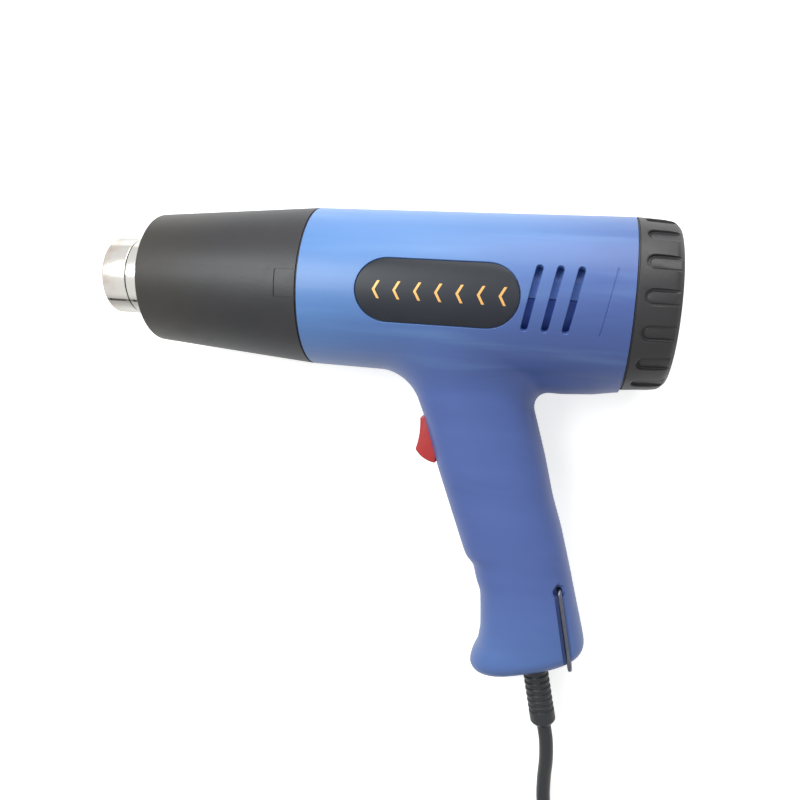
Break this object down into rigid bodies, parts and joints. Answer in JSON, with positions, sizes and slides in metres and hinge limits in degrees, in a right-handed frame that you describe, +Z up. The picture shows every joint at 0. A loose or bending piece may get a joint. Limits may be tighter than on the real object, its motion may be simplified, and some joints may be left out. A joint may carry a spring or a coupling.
{
  "type": "hot air tool",
  "caption": "Pistol-grip hot air tool lying on its side: bright steel nozzle, black tapered guard, blue housing, ribbed rear cap, red rocker, wire bail, coiled cord and plug.",
  "frame": {"origin": "bottom centre of the bounding box of the tool without its cord, on the surface it lies on", "axes": "+X from the nozzle to the rear cap, +Y to the top of the gun, +Z up: the gun lies on its right side"},
  "size_m": [0.2511, 0.3805, 0.0697],
  "materials": {
    "black_nylon": "black, fine matt grain",
    "black_pvc": "soft black PVC",
    "blue_abs": "light blue, smooth satin moulding",
    "brass": "brass",
    "bright_steel": "polished stainless steel",
    "carbon": "carbon brush",
    "circuit_board": "green circuit board",
    "copper": "copper",
    "duct_blue": "dark blue, matt",
    "glass_wool": "woven glass insulation",
    "label_black": "black printed plate, satin",
    "lead_red": "red lead insulation",
    "lead_white": "white lead insulation",
    "mica": "mica sheet, satin",
    "resistance_wire": "oxidised resistance wire",
    "rocker_red": "red, semi-gloss",
    "zinc_plate": "zinc plated steel"
  },
  "bodies": {
    "gun": {"barrel_tube": "bright_steel", "bearing_front": "brass", "bearing_rear": "brass", "bridge_rectifier": "black_nylon", "brush_lower": "carbon", "brush_upper": "carbon", "cap_screw": "zinc_plate", "clamp_screw_1": "zinc_plate", "clamp_screw_2": "zinc_plate", "coil_tie": "black_pvc", "cord": "black_pvc", "cord_clamp": "black_nylon", "cord_coil": "black_pvc", "cord_end": "black_pvc", "cord_tail": "black_pvc", "fan_duct_lower": "duct_blue", "fan_duct_upper": "blue_abs", "front_shield": "black_nylon", "heater_coil": "resistance_wire", "heater_core": "mica", "heater_front_disc": "mica", "heater_rear_disc": "mica", "housing_left": "blue_abs", "housing_right": "blue_abs", "housing_screw_1": "zinc_plate", "housing_screw_2": "zinc_plate", "housing_screw_3": "zinc_plate", "housing_screw_4": "zinc_plate", "housing_screw_5": "zinc_plate", "insulation_wrap": "glass_wool", "intake_plate": "black_nylon", "label_left": "label_black", "label_right": "label_black", "lead_heater": "lead_red", "lead_return": "lead_white", "lead_supply": "lead_red", "mica_liner": "mica", "motor_can": "zinc_plate", "motor_cradle": "black_nylon", "motor_end_cap": "black_nylon", "nozzle_collar": "bright_steel", "nozzle_sleeve": "bright_steel", "plug_blade_1": "brass", "plug_blade_2": "brass", "plug_body": "black_pvc", "rectifier_board": "circuit_board", "strain_relief": "black_pvc", "switch_body": "black_nylon", "switch_pin": "zinc_plate", "switch_terminal_1": "brass", "switch_terminal_2": "brass", "thermal_cutout": "zinc_plate"},
    "rotor": {"motor_shaft": "zinc_plate", "commutator": "copper", "armature": "copper", "impeller": "black_nylon"},
    "rocker": {"switch_rocker": "rocker_red"},
    "bail": {"hanging_bail": "zinc_plate"},
    "rear_cap": {"rear_cap": "black_nylon"}
  },
  "joints": [
    {"name": "rotor_spin", "type": "hinge", "parent": "gun", "child": "rotor", "pos_m": [0.08563, 0.06455, 0.03467], "axis": [1, 0, 0.0085], "continuous": true},
    {"name": "rocker_tilt", "type": "hinge", "parent": "gun", "child": "rocker", "pos_m": [0.03238, 0.00365, 0.02766], "axis": [-0.0084, -0.1071, 0.9942], "range_deg": [0, 46]},
    {"name": "bail_swing", "type": "hinge", "parent": "gun", "child": "bail", "pos_m": [0.08868, -0.05502, 0.02182], "axis": [-0.0084, -0.1071, 0.9942], "range_deg": [0, 150]},
    {"name": "intake_turn", "type": "hinge", "parent": "gun", "child": "rear_cap", "pos_m": [0.10473, 0.06455, 0.03484], "axis": [1, 0, 0.0085], "range_deg": [0, 15]}
  ]
}
